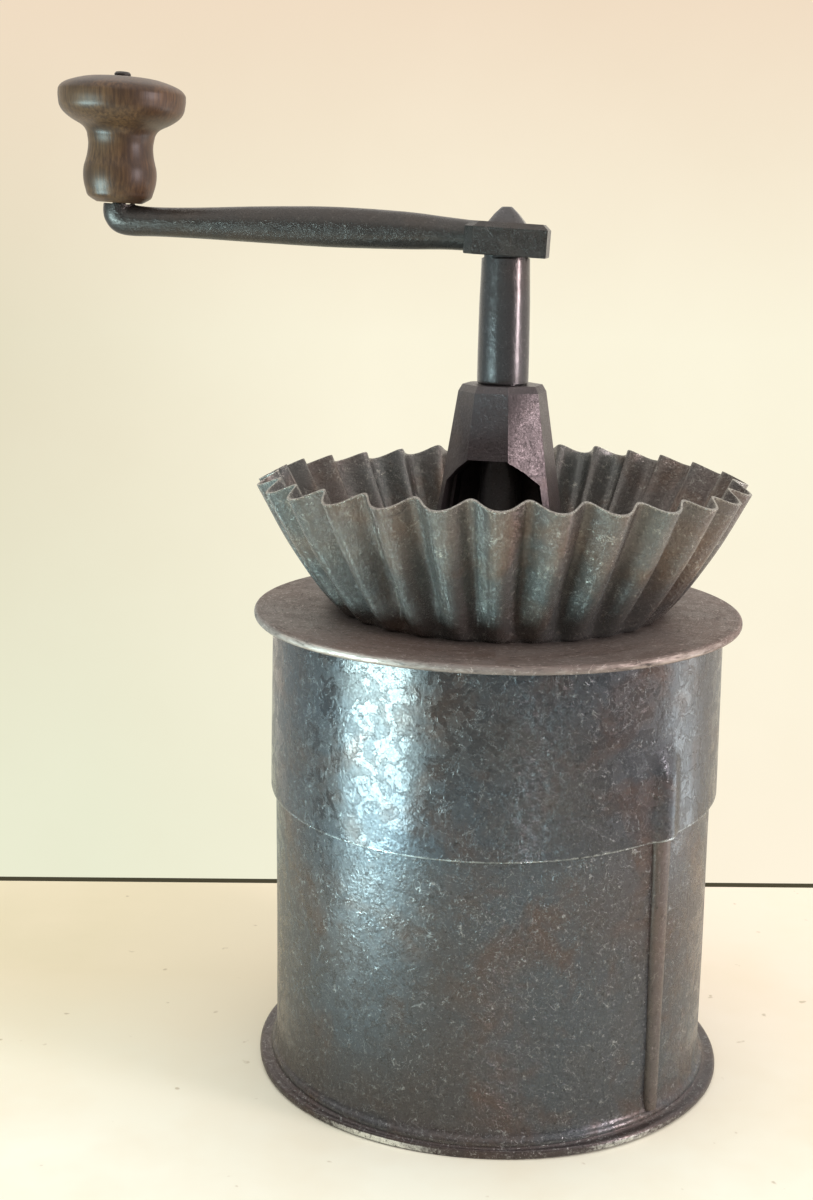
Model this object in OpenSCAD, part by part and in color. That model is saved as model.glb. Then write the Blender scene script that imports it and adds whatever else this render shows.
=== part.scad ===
// Hand crank coffee mill of sheet and forged iron, built of four groups:
// a receiver can, a mill head that lifts off it, a spindle with its crank and
// knob, and a screw under the burrs that sets the grind.
// Z is up, the origin is on the mill's axis at the floor, and -Y is the front.

/* [Sheet and fits] */
// Thickness of the sheet iron in the can, sleeve, plates and hopper
sheet = 0.8; // [0.6:0.1:1]
// Radial clearance of a turning shaft in its bore
run_gap = 0.05; // [0.03:0.01:0.08]
// Clearance between pieces that stand on or slide past each other
seat_gap = 0.2; // [0.1:0.05:0.3]

/* [Receiver can] */
// Outer radius of the can's wall
can_r = 60; // [56:1:70]
// Height of the can's mouth above the floor
can_h = 129; // [120:1:150]
// How far the base plate stands out beyond the wall
base_lip = 5.15; // [4.5:0.05:7]
// How far the bead at the wall's foot stands out
foot_bead = 1.9; // [1:0.1:2.4]
// Height of the bead at the wall's foot
foot_bead_h = 3.6; // [3:0.1:5]
// Depth of the folded edge inside the can's mouth
mouth_fold = 5; // [3:0.5:8]

/* [Key rib] */
// Where the rib stands, turned from the front towards the right
rib_turn = 46; // [20:1:70]
// Half width of the rib at its foot
rib_foot_r = 2.3; // [1.8:0.1:2.8]
// Half width of the rib at its head
rib_head_r = 3.3; // [3:0.1:3.8]
// How far the rib stands out from the wall
rib_proud = 2.2; // [1.8:0.1:2.6]
// How far the rib's square foot end stands above the bead at the wall's foot
rib_foot_gap = 0.4; // [0.2:0.1:6]
// How far the rib reaches up inside the sleeve
rib_cover = 18; // [10:1:24]

/* [Sleeve and top plate] */
// Clearance between the can and the sleeve that slides over it
sleeve_gap = 0.5; // [0.3:0.05:0.8]
// Depth of the sleeve below the top plate
sleeve_h = 49.5; // [44:0.5:56]
// Clearance between the rib and the channel pressed over it
rib_gap = 0.3; // [0.2:0.05:0.5]
// Height over which the pressed channel dies away
channel_fade = 11; // [8:1:14]
// How far the top plate stands out beyond the sleeve
plate_lip = 4.75; // [4.5:0.05:7]
// Radius of the throat that lets the beans down to the burrs
throat_r = 17; // [15:0.5:18]

/* [Hopper] */
// Number of flutes round the hopper
flutes = 28; // [20:1:32]
// How far the crests of the hopper's rim stand out beyond the top plate's edge
rim_over = 0.05; // [-6:0.05:6]
// Height of the rim's crests above the top plate
hopper_h = 34.8; // [28:0.2:44]
// Depth of the flutes at the rim, from crest to hollow
flute_depth = 5.6; // [3:0.2:6.4]
// How much higher the hand-pressed rim stands at the front
rim_lift = 2.4; // [0:0.2:3]
// Radius of the hopper's flat floor
hopper_floor_r = 42.5; // [41.5:0.5:46]
// How far the hopper was soldered to the right of the mill's axis
hopper_shift = 0.7; // [0:0.1:1]

/* [Bridge] */
// How far the bridge is turned about the mill's axis
bridge_turn = -15; // [-45:1:45]
// Height of the bridge above the hopper's floor
bridge_h = 59.7; // [50:0.1:70]
// Width across flats of the octagon at the bridge's foot
bridge_foot_w = 38.7; // [37:0.1:42]
// Width across flats of the octagon at the bridge's head
bridge_head_w = 21.8; // [20:0.1:26]
// Width of the tunnel between the bridge's legs
tunnel_w = 28; // [26:0.2:30]
// Height of the tunnel's flat crown above the floor
crown_h = 40.7; // [34:0.1:46]
// Width of the tunnel's flat crown
crown_w = 10.6; // [8:0.2:13]
// Drop from the crown to the tunnel's shoulders
crown_drop = 6.5; // [4:0.1:9]
// How far the tunnel reaches in behind the mill's axis
tunnel_in = 9.5; // [8:0.5:11]
// Thickness of the bridge's two riveted feet
bridge_foot_t = 3; // [2:0.2:4]

/* [Spindle] */
// Radius of the shaft that turns in the bridge
shaft_r = 5.5; // [5:0.1:5.8]
// Height of the thick column between bridge and crank
column_h = 33.2; // [24:0.1:42]
// Radius of the column at its foot
column_foot_r = 6.85; // [6.6:0.05:7.6]
// Radius of the column at its head
column_head_r = 6.36; // [6.34:0.02:6.8]
// Width across the flats filed on the spindle's head for the crank
tang_w = 10.8; // [10:0.1:11.6]
// Width of the blunt tip above the crank
tip_w = 2.6; // [2:0.1:4]
// Radius of the journal that turns in the stirrup's boss
journal_r = 4; // [3.5:0.1:4.4]

/* [Crank] */
// Direction of the crank's arm about the mill's axis, from +X
crank_turn_angle = 175; // [0:1:359]
// How much the arm climbs towards the knob
crank_tilt = 2.9; // [0:0.1:4]
// Distance from the spindle to the knob's pin
crank_r = 104.9; // [90:0.1:125]
// Length of the crank's hub block along the arm
hub_l = 21.7; // [18:0.1:26]
// Width of the hub block
hub_w = 14; // [13.6:0.1:18]
// Thickness of the hub block
hub_t = 8.5; // [7.5:0.1:11]
// Bevel along the hub's edges
hub_bevel = 1.4; // [0.6:0.1:1.6]
// Half height of the arm where it is deepest
arm_deep = 5.25; // [4.6:0.05:6]
// Half height of the arm near the knob
arm_slim = 3.8; // [3.2:0.05:4.4]

/* [Knob] */
// Radius of the knob's cap
knob_r = 16.75; // [14:0.05:20]
// Height of the knob
knob_h = 32.6; // [28:0.1:40]
// Radius of the knob's neck
neck_r = 8.6; // [7:0.05:9.4]
// Radius of the bulb at the knob's foot
bulb_r = 9.7; // [8.5:0.05:11]
// Radius of the pin that the knob turns on
pin_r = 1.8; // [1.5:0.1:2]

/* [Burrs] */
// Height of the burr ring under the top plate
ring_h = 18; // [16:0.5:20]
// Outer radius of the burr ring
ring_r = 26.5; // [25.5:0.5:28]
// Radius of the burr ring's flange
flange_r = 36; // [35.5:0.5:38]
// Thickness of the burr ring's flange
flange_t = 3; // [2:0.5:4]
// Gap between the teeth of ring and cone at the coarsest setting
burr_gap = 0.9; // [0.8:0.05:1.2]
// Number of fine teeth round the burrs
teeth = 30; // [24:2:40]

/* [Stirrup and grind screw] */
// Width of the stirrup's strap
strap_w = 12; // [9:0.5:14]
// Thickness of the stirrup's strap
strap_t = 3; // [2:0.5:3.5]
// Outer radius of the stirrup's boss
boss_r = 8; // [7:0.5:9]
// Travel of the grind screw from coarse to fine
grind_travel = 2; // [1:0.25:2.25]
// Radius of the rivets' shanks
rivet_r = 1.75; // [1.4:0.05:2]

/* [Hidden] */
$fn = 180;
eps = 0.01;

// Heights of the stack, from the floor up
plate_z = can_h + seat_gap;                  // underside of the top plate
floor_z = plate_z + 2 * sheet;               // upper face of the hopper's floor
sleeve_z = plate_z - sleeve_h;               // lower edge of the sleeve
bridge_z = floor_z + bridge_h;               // head of the bridge
column_z = bridge_z + seat_gap;              // foot of the spindle's column
hub_z = column_z + column_h;                 // underside of the crank's hub on the axis

// Radii that follow the can
hem_round = 1.25 * sheet;                    // outer rounding of a hemmed edge, three sheets thick
sleeve_in_r = can_r + sleeve_gap;
sleeve_r = sleeve_in_r + sheet;
plate_r = sleeve_r + plate_lip;
base_r = can_r + base_lip;
bridge_wall = 2;                             // bridge left behind its tunnel
rim_r = plate_r + rim_over;                  // hopper's rim over the crests of the flutes

// Rib and the channel pressed over it
rib_top = sleeve_z + rib_cover;
rib_start = 2 * sheet + foot_bead_h + rib_foot_gap;
rib_foot_at = can_r + rib_proud - rib_foot_r;
rib_head_at = can_r + rib_proud - rib_head_r;
channel_r = rib_head_r + rib_gap;

// Burrs, from the plate down
ring_z = plate_z - ring_h;
band_h = 8;                                  // height of the fine teeth
band_flare = 2.2;                            // how much the fine teeth widen downwards
tooth_d = 0.9;                               // depth of a tooth
ring_band_r = throat_r + 3;                  // ring's bore at the top of its fine teeth
cone_z = ring_z - grind_travel + 0.5;        // underside of the cone at the coarsest setting
cone_band_r = ring_band_r - burr_gap;        // cone's teeth at the top of their band
cone_top = plate_z - 1.7 - grind_travel;     // top of the cone's feed vanes
cone_hub_r = 9;
cone_hub_h = 4;
cone_pin_r = 1.5;
cone_pin_z = cone_z - cone_hub_h / 2;

// Stirrup and grind screw, below the cone
boss_top = cone_z - cone_hub_h - 1.2;
boss_h = 13.5;
boss_z = boss_top - boss_h;
bar_z = boss_z + 4;                          // underside of the stirrup's bar
strap_at = ring_r + 1.5;                     // inner face of the stirrup's legs
ear_end = flange_r + 0.5;
stirrup_rivet_at = (strap_at + strap_t + ear_end) / 2;
screw_r = journal_r;
screw_top = boss_z + 5;
step_h = 3.5;                                // height of the footstep under the spindle
step_z = screw_top + 0.05;
point_z = step_z + step_h - 1.6;             // tip of the spindle's point, in the footstep
nut_h = 2.6;
nut_z = boss_z - 0.05 - nut_h;
thumb_h = 5.6;
thumb_z = nut_z - grind_travel - 0.4 - thumb_h;
thumb_w = 17;

// Rivets
rivet_head_r = rivet_r * 1.75;
rivet_head_h = rivet_r;
rivet_dome_r = (pow(rivet_head_h, 2) + pow(rivet_head_r, 2)) / (2 * rivet_head_h);
bridge_rivet_at = ring_r + rivet_head_r + seat_gap;
bridge_foot_end = bridge_rivet_at + 5.5;
bridge_foot_y = 15;                          // width of a bridge foot

// Bridge outline
bridge_bevel = 1.8;                          // height of the bevel round the bridge's head
head_bevel_in = 1;                           // how far that bevel draws in
octagon = 1 / cos(22.5);                     // corner radius of an octagon of half width 1

// Crank and knob, in the crank's own frame: X along the arm, Z up from the hub's underside
stub_r = 4.2;
stub_top = 6.8;
pin_hold = 4;                                // how deep the knob's pin is set in the elbow
knob_seat = stub_top + seat_gap;
pin_top = knob_seat + knob_h + 0.1;
pin_head_r = pin_r + 0.35;
pin_head_h = 1.15;
tang_corner_r = column_head_r - 0.04;
tang_gap = 0.1;
tip_h = 4.9;

// Outline of a wheel with n pointed teeth: tip radius r, root radius r - d
function tooth_pts(r, d, n) =
    [for (i = [0:2 * n - 1]) let (q = i % 2 == 0 ? r : r - d) [q * cos(180 * i / n), q * sin(180 * i / n)]];

// Faces of a closed tube whose section rings follow one another, n points in each
function tube_faces(rings, n) = concat(
    [[for (i = [0:n - 1]) n - 1 - i]],
    [for (j = [0:rings - 2], i = [0:n - 1]) let (k = (i + 1) % n, a = j * n, b = a + n)
        each [[a + i, a + k, b + k], [a + i, b + k, b + i]]],
    [[for (i = [0:n - 1]) (rings - 1) * n + i]]);

// Faces of a closed ring whose section loops follow one another round the axis
function ring_faces(loops, n) =
    [for (j = [0:loops - 1], i = [0:n - 1])
        let (k = (i + 1) % n, a = j * n, b = ((j + 1) % loops) * n)
        each [[a + i, b + i, b + k], [a + i, b + k, a + k]]];

// A point t of the way along a smooth curve through the list p
function smooth(p, t) =
    let (n = len(p) - 1, s = min(t * n, n - 0.0001), i = floor(s), f = s - i,
         a = p[max(i - 1, 0)], b = p[i], c = p[i + 1], d = p[min(i + 2, n)])
    0.5 * (2 * b + (c - a) * f + (2 * a - 5 * b + 4 * c - d) * f * f + (3 * b - a - 3 * c + d) * f * f * f);

// Puts a piece beside the rib's direction, at a distance from the mill's axis
module at_rib(distance) { rotate([0, 0, rib_turn - 90]) translate([distance, 0, 0]) children(); }

// Turns a piece with the bridge, and repeats it on both sides
module bridge_sides() { for (side = [0, 180]) rotate([0, 0, bridge_turn + side]) children(); }

// Disc whose edge is hemmed over the flange of the wall that it closes: z is its
// outer face, side is 1 where the hem turns up or -1 where it turns down, and
// inner is the radius that the hem reaches back to
module hemmed_plate(r, inner, z, side) {
    rotate_extrude() polygon([for (p = concat([[0, 0]],
            [for (t = [-90:30:0]) [r - hem_round * (1 - cos(t)), hem_round * (1 + sin(t))]],
            [for (t = [0:30:90]) [r - hem_round * (1 - cos(t)), 3 * sheet - hem_round * (1 - sin(t))]],
            [[inner, 3 * sheet], [inner, 2 * sheet], [r - sheet, 2 * sheet], [r - sheet, sheet], [0, sheet]]))
        [p[0], z + side * p[1]]]);
}

// A round-headed rivet from z0 up to z1, with a head at both ends
module rivet(z0, z1) {
    translate([0, 0, z0]) cylinder(r = rivet_r, h = z1 - z0, $fn = 32);
    for (end = [0, 1])
        translate([0, 0, end == 0 ? z0 : z1]) mirror([0, 0, 1 - end]) rotate_extrude($fn = 32)
            intersection() {
                translate([0, rivet_head_h - rivet_dome_r]) circle(r = rivet_dome_r, $fn = 64);
                square([rivet_head_r, rivet_head_h]);
            }
}

// Bottom of the can: a disc hemmed up over the wall's flange
module base_plate() color("#3a3836") hemmed_plate(base_r, can_r + foot_bead + seat_gap, 0, 1);

// Wall of the can: flanged and beaded at the foot, folded inwards at the mouth
module receiver_can() color("#3f4446") {
    foot_r = base_r - sheet - seat_gap;
    bead_r = 0.55 * foot_bead_h;
    rotate_extrude() {
        translate([can_r - sheet, sheet]) square([sheet, can_h - sheet]);
        translate([can_r - sheet, sheet]) square([foot_r - can_r + sheet, sheet]);
        intersection() {
            translate([can_r + foot_bead - bead_r, 2 * sheet + foot_bead_h - bead_r])
                circle(r = bead_r, $fn = 32);
            translate([can_r - sheet / 2, sheet]) square([foot_bead_h, 2 * foot_bead_h]);
        }
        translate([can_r - 2 * sheet, can_h - mouth_fold]) square([sheet + eps, mouth_fold]);
    }
}

// Half-round strip on the can that keys the head: slim at the foot, wide at the head
module key_rib() color("#4a4340") {
    rise = rib_top - rib_start;
    lean = atan((rib_foot_at - rib_head_at) / rise);
    difference() {
        at_rib(rib_foot_at) translate([0, 0, rib_start]) rotate([0, -lean, 0])
            cylinder(r1 = rib_foot_r, r2 = rib_head_r, h = rise);
        cylinder(r = can_r, h = can_h);
    }
}

// One face of the channel pressed in the sleeve over the rib: a round bar whose
// pointed head sinks into the wall above the rib
module channel_bar(r) {
    sunk = r - (sleeve_r - rib_head_at);
    at_rib(rib_head_at) rotate_extrude()
        polygon([[0, sleeve_z - 1], [r, sleeve_z - 1], [r, rib_top], [0, rib_top + channel_fade * r / sunk]]);
}

// Sleeve of the head, which slides over the can, with a flange that the top plate grips
module sleeve() color("#3c3a3a") {
    difference() {
        union() {
            translate([0, 0, sleeve_z]) cylinder(r = sleeve_r, h = sleeve_h);
            translate([0, 0, plate_z - sheet]) cylinder(r = plate_r - sheet - seat_gap, h = sheet);
            intersection() {
                channel_bar(channel_r + sheet);
                translate([0, 0, sleeve_z]) cylinder(r = sleeve_r + channel_r, h = sleeve_h);
            }
        }
        translate([0, 0, sleeve_z - 1]) cylinder(r = sleeve_in_r, h = sleeve_h + 2);
        channel_bar(channel_r);
    }
}

// Plate that closes the head, with the throat and the rivets' holes
module top_plate() color("#4b403a") {
    difference() {
        hemmed_plate(plate_r, sleeve_r + seat_gap, plate_z + sheet, -1);
        translate([0, 0, plate_z - 1]) cylinder(r = throat_r, h = sheet + 2);
        head_holes(plate_z - 1, sheet + 2);
    }
}

// Holes for the rivets that hold bridge, hopper, plate and burr ring together
module head_holes(z, h) {
    bridge_sides() translate([bridge_rivet_at, 0, z]) cylinder(r = rivet_r, h = h, $fn = 32);
    bridge_sides() translate([0, stirrup_rivet_at, z]) cylinder(r = rivet_r, h = h, $fn = 32);
}

// Line of the flutes' crests, from the hopper's floor (0) to its rim (1)
hopper_run = rim_r - hopper_floor_r;
hopper_line = [[hopper_floor_r, 1.5 * sheet],
               [hopper_floor_r + 0.09 * hopper_run, 1.5 * sheet + 0.026 * hopper_h],
               [hopper_floor_r + 0.32 * hopper_run, sheet + 0.22 * hopper_h],
               [hopper_floor_r + 0.66 * hopper_run, sheet + 0.57 * hopper_h],
               [rim_r - sheet / 2, hopper_h]];
hopper_levels = [0, 0.16, 0.3, 0.5, 0.75, 1];
hopper_side = 6;                                            // points to a flute

// A swell of the given height round one turn, fading over the given spread
function swell(turn, at, spread, height) =
    let (off = (turn - at + 540) % 360 - 180) height * exp(-pow(off / spread, 2));

// How far the hand-pressed flutes stray from even spacing, and how far the rim rises
function flute_drift(turn) = swell(turn, 127, 36, -8.4) + swell(turn, 222, 20, 2) + swell(turn, 312, 40, 1.5);
function rim_rise(turn) = rim_lift * (swell(turn, 0, 42, 1) + swell(turn, 140, 35, 0.4) - swell(turn, 230, 30, 0.4));

// A point of the hopper's sheet: s along the line, out of the sheet's middle by out
function hopper_pt(s, turn, out) =
    let (p = smooth(hopper_line, s),
         q = smooth(hopper_line, max(s - 0.02, 0)) - smooth(hopper_line, min(s + 0.02, 1)),
         n = [-q[1], q[0]] / norm(q), w = (turn + flute_drift(turn)) * flutes, depth = flute_depth * min(1, 1.6 * s),
         d = out - depth * (1 - cos(w - 15 * sin(w))) / 2, r = p[0] + n[0] * d)
    [r * cos(turn - 90) + hopper_shift, r * sin(turn - 90),
     plate_z + p[1] + n[1] * d + rim_rise(turn) * s * s];

// Section of the hopper's sheet at one turn: under the floor, up the wall and back
function hopper_section(turn) =
    let (n = len(hopper_levels), throat = [throat_r * cos(turn - 90), throat_r * sin(turn - 90)])
    concat([[throat[0], throat[1], plate_z + sheet]],
        [for (j = [0:n - 1]) hopper_pt(hopper_levels[j], turn, sheet / 2)],
        [for (j = [0:n - 1]) hopper_pt(hopper_levels[n - 1 - j], turn, -sheet / 2)],
        [[throat[0], throat[1], plate_z + 2 * sheet]]);

// Fluted hopper of one sheet, riveted and soldered to the top plate
module hopper() color("#46443f") {
    sides = flutes * hopper_side;
    difference() {
        polyhedron(points = [for (i = [0:sides - 1]) each hopper_section(360 * i / sides)],
            faces = ring_faces(sides, 2 * len(hopper_levels) + 2));
        head_holes(plate_z, 3 * sheet);
    }
}

// Forged bridge: an octagonal tower on two feet, hollowed from the front over the throat
module bridge() color("#4d4442") {
    difference() {
        rotate([0, 0, bridge_turn]) difference() {
            union() {
                rotate([0, 0, 22.5]) {
                    translate([0, 0, floor_z])
                        cylinder(r1 = bridge_foot_w / 2 * octagon, r2 = bridge_head_w / 2 * octagon,
                            h = bridge_h - bridge_bevel, $fn = 8);
                    translate([0, 0, bridge_z - bridge_bevel - eps])
                        cylinder(r1 = bridge_head_w / 2 * octagon,
                            r2 = (bridge_head_w / 2 - head_bevel_in) * octagon, h = bridge_bevel + eps, $fn = 8);
                }
                translate([-bridge_foot_end, -bridge_foot_y / 2, floor_z])
                    cube([2 * bridge_foot_end, bridge_foot_y, bridge_foot_t]);
            }
            intersection() {
                translate([0, tunnel_in, floor_z]) rotate([90, 0, 0]) linear_extrude(tunnel_in + bridge_foot_w)
                    for (side = [0, 1]) mirror([side, 0])
                        polygon([[-1, -1], [tunnel_w / 2, -1], [tunnel_w / 2, crown_h - 2 * crown_drop],
                            [tunnel_w / 2 - 1.2, crown_h - crown_drop],
                            [crown_w / 2 + 3.9, crown_h - 0.45 * crown_drop], [crown_w / 2, crown_h], [-1, crown_h]]);
                union() {
                    translate([-bridge_foot_w, -2 * bridge_foot_w, floor_z - 2])
                        cube([2 * bridge_foot_w, 2 * bridge_foot_w, bridge_h]);
                    rotate([0, 0, 22.5]) translate([0, 0, floor_z - 2])
                        cylinder(r1 = (bridge_foot_w / 2 - bridge_wall) * octagon,
                            r2 = (bridge_head_w / 2 - bridge_wall) * octagon, h = bridge_h - bridge_bevel, $fn = 8);
                }
            }
            for (side = [-1, 1]) translate([side * bridge_rivet_at, 0, floor_z - 1])
                cylinder(r = rivet_r, h = bridge_foot_t + 2, $fn = 32);
        }
        translate([0, 0, floor_z]) cylinder(r = shaft_r + run_gap, h = bridge_h + 1);
    }
}

// Two rivets through the bridge's feet, hopper, plate and burr ring
module bridge_rivets() color("#554b46")
    bridge_sides() translate([bridge_rivet_at, 0, 0]) rivet(plate_z - flange_t, floor_z + bridge_foot_t);

// Outer burr: a flanged ring whose bore widens downwards and is toothed below
module burr_ring() color("#5c5a58") {
    band_top = ring_z + band_h;
    difference() {
        union() {
            translate([0, 0, ring_z]) cylinder(r = ring_r, h = ring_h);
            translate([0, 0, plate_z - flange_t]) cylinder(r = flange_r, h = flange_t);
        }
        translate([0, 0, band_top - eps])
            cylinder(r1 = ring_band_r, r2 = throat_r, h = ring_h - band_h + 2 * eps);
        translate([0, 0, ring_z - eps])
            linear_extrude(height = band_h + eps, scale = ring_band_r / (ring_band_r + band_flare),
                slices = 3, twist = 12)
                polygon(tooth_pts(ring_band_r + band_flare + tooth_d, tooth_d, teeth));
        head_holes(plate_z - flange_t - 1, flange_t + 2);
    }
}

// Stirrup: a strap bent under the burrs, with the boss that carries spindle and screw
module stirrup() color("#4a4542") {
    leg_top = plate_z - flange_t;
    difference() {
        union() {
            rotate([0, 0, bridge_turn]) {
                for (side = [0, 180]) rotate([0, 0, side]) {
                    translate([-strap_w / 2, strap_at, bar_z])
                        cube([strap_w, strap_t, leg_top - bar_z]);
                    translate([-strap_w / 2, strap_at, leg_top - strap_t])
                        cube([strap_w, ear_end - strap_at, strap_t]);
                }
                translate([-strap_w / 2, -strap_at - eps, bar_z])
                    cube([strap_w, 2 * (strap_at + eps), strap_t]);
            }
            translate([0, 0, boss_z]) cylinder(r = boss_r, h = boss_h);
        }
        translate([0, 0, boss_z - 1]) cylinder(r = journal_r + run_gap, h = boss_h + 2);
        bridge_sides() translate([0, stirrup_rivet_at, leg_top - strap_t - 1])
            cylinder(r = rivet_r, h = strap_t + 2, $fn = 32);
    }
}

// Two rivets through the stirrup's ears, burr ring, plate and hopper
module stirrup_rivets() color("#554b46")
    bridge_sides() translate([0, stirrup_rivet_at, 0]) rivet(plate_z - flange_t - strap_t, floor_z);

// Square nut that locks the grind screw against the boss
module lock_nut() color("#5a5552") {
    difference() {
        rotate([0, 0, bridge_turn]) translate([-6, -6, nut_z]) cube([12, 12, nut_h]);
        translate([0, 0, nut_z - 1]) cylinder(r = screw_r + run_gap, h = nut_h + 2);
    }
}

// Steel footstep that the spindle's point turns in
module footstep() color("#77736e") {
    difference() {
        translate([0, 0, step_z]) cylinder(r = journal_r, h = step_h);
        translate([0, 0, point_z - 0.1]) cylinder(r1 = 0, r2 = journal_r, h = journal_r);
    }
}

// Grind screw with a flat thumb piece below the lock nut
module adjusting_screw() color("#5a5552") {
    translate([0, 0, thumb_z + thumb_h - 1]) cylinder(r = screw_r, h = screw_top - thumb_z - thumb_h + 1);
    translate([0, 0, thumb_z]) intersection() {
        translate([0, 1.5, 0]) rotate([90, 0, 0]) linear_extrude(3)
            polygon([[-thumb_w / 2, 1.2], [-thumb_w / 2 + 1.5, 0], [thumb_w / 2 - 1.5, 0], [thumb_w / 2, 1.2],
                [thumb_w / 2, thumb_h - 1.6], [screw_r, thumb_h], [-screw_r, thumb_h],
                [-thumb_w / 2, thumb_h - 1.6]]);
        cylinder(r = thumb_w / 2 - 0.2, h = thumb_h);
    }
}

// Spindle: point, journal, shaft, thick column, squared head and blunt tip
module spindle() color("#3b3d3f") {
    shaft_z = cone_z - cone_hub_h;
    tip_z = hub_z + hub_t - 0.9;
    top_z = tip_z + tip_h;
    difference() {
        rotate_extrude() polygon([[0, point_z], [journal_r, point_z + journal_r], [journal_r, shaft_z],
            [shaft_r, shaft_z], [shaft_r, column_z], [column_foot_r, column_z],
            [column_head_r, hub_z - 0.4], [0, hub_z - 0.4]]);
        cross_pin(3 * cone_hub_r);
    }
    rotate([0, 0, crank_turn_angle]) difference() {
        intersection() {
            translate([0, 0, hub_z - 0.5]) cylinder(r = tang_corner_r, h = top_z - hub_z + 0.5);
            translate([-tang_w / 2, -tang_w / 2, hub_z - 0.5]) cube([tang_w, tang_w, top_z - hub_z + 0.5]);
        }
        for (side = [0:90:270]) rotate([0, 0, side]) tip_cut((tang_w - tip_w) / 2, tip_w / 2, top_z);
        for (side = [45:90:315]) rotate([0, 0, side])
            tip_cut(tang_corner_r - tip_w / 2, tip_w / 2, top_z);
    }
}

// Wedge that files one face of the spindle's tip: run inwards over the tip's height
module tip_cut(run, inner, top_z)
    translate([0, 10, top_z - tip_h]) rotate([90, 0, 0]) linear_extrude(20)
        polygon([[inner + run, 0], [inner, tip_h], [inner, tip_h + 1],
            [inner + run + 5, tip_h + 1], [inner + run + 5, 0]]);

// Inner burr: a cone with spiral feed vanes above a band of fine teeth
module burr_cone() color("#5c5a58") {
    band_r = cone_band_r + band_flare;
    vane_z = cone_z + band_h;
    difference() {
        union() {
            translate([0, 0, cone_z])
                linear_extrude(height = band_h, scale = cone_band_r / band_r, slices = 3, twist = -12)
                    polygon(tooth_pts(band_r, tooth_d, teeth));
            translate([0, 0, vane_z - eps])
                linear_extrude(height = cone_top - vane_z, scale = 0.52, slices = 6, twist = -75)
                    polygon([for (i = [0:29]) let (r = cone_band_r - 3.4 + 1.5 * cos(60 * i))
                        [r * cos(12 * i), r * sin(12 * i)]]);
            translate([0, 0, cone_z - cone_hub_h]) cylinder(r = cone_hub_r, h = cone_hub_h + 1);
        }
        translate([0, 0, cone_z - cone_hub_h - 1])
            cylinder(r = shaft_r, h = cone_top - cone_z + cone_hub_h + 2);
        cross_pin(3 * cone_hub_r);
    }
}

// Round bar of length l across spindle and cone
module cross_pin(l)
    translate([0, 0, cone_pin_z]) rotate([90, 0, 0]) cylinder(r = cone_pin_r, h = l, center = true, $fn = 32);

// Cross pin through spindle and cone, which drives the cone
module cone_pin() color("#77736e") cross_pin(2 * cone_hub_r + 0.6);

// Stations of the arm, in the crank's frame: [x, z of its middle, half height, half width, turn]
arm_line = [[hub_l / 2 - 2, 4.4, 4, 4.4], [0.155 * crank_r, 4.7, 4.2, 4.4],
            [0.27 * crank_r, 4.7, 0.93 * arm_deep, 4.6], [0.45 * crank_r, 4.35, arm_deep, 4.6],
            [0.63 * crank_r, 3.75, 0.9 * arm_deep, 4.4], [0.79 * crank_r, 3.1, 1.08 * arm_slim, 4.2],
            [crank_r - 8.5, stub_top - 0.4 - arm_slim, arm_slim, 4.1]];
bend_x = crank_r - stub_r - 0.4;                            // centre of the elbow's bend
bend_reach = [7.9, 8.2, 9, 9, stub_r * 2 + 0.4];            // outer radius of the elbow, every 22.5 degrees

// A ring of the arm: an oval of half height h and half width w, turned about its middle
function arm_ring(x, z, h, w, turn, n) =
    [for (i = [0:n - 1]) let (a = 360 * i / n)
        [x + h * cos(a) * sin(turn), w * sin(a), z + h * cos(a) * cos(turn)]];

// Crank: hub block with a squared hole, oval arm, and an elbow that holds the knob's pin
module crank_arm() color("#4a4441") {
    sides = 20;
    rings = concat(
        [for (p = arm_line) arm_ring(p[0], p[1], p[2], p[3], 0, sides)],
        [for (i = [0:4]) let (a = 22.5 * i, r = (bend_reach[i] + 0.4) / 2)
            arm_ring(bend_x + r * sin(a), stub_top - r * cos(a), bend_reach[i] / 2 - 0.2, stub_r - 0.1,
                -a, sides)]);
    translate([0, 0, hub_z]) rotate([0, 0, crank_turn_angle]) difference() {
        rotate([0, -crank_tilt, 0]) {
            polyhedron(points = [for (r = rings) each r], faces = tube_faces(len(rings), sides));
            hub_block();
        }
        rotate([0, -crank_tilt, 0]) translate([crank_r, 0, stub_top - pin_hold])
            cylinder(r = pin_r, h = pin_hold + 1, $fn = 32);
        intersection() {
            translate([0, 0, -5]) cylinder(r = tang_corner_r + tang_gap, h = hub_t + 10);
            translate([-tang_w / 2 - tang_gap, -tang_w / 2 - tang_gap, -5])
                cube([tang_w + 2 * tang_gap, tang_w + 2 * tang_gap, hub_t + 10]);
        }
    }
}

// Pin set in the elbow, which the knob turns on, with its end riveted over the knob
module knob_pin() color("#4a4441") {
    translate([0, 0, hub_z]) rotate([0, 0, crank_turn_angle]) rotate([0, -crank_tilt, 0])
        translate([crank_r, 0, 0]) rotate_extrude($fn = 32)
            polygon([[0, stub_top - pin_hold], [pin_r, stub_top - pin_hold], [pin_r, pin_top],
                [pin_head_r, pin_top], [pin_head_r, pin_top + pin_head_h / 2], [0.6 * pin_head_r, pin_top + pin_head_h],
                [0, pin_top + pin_head_h]]);
}

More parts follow.
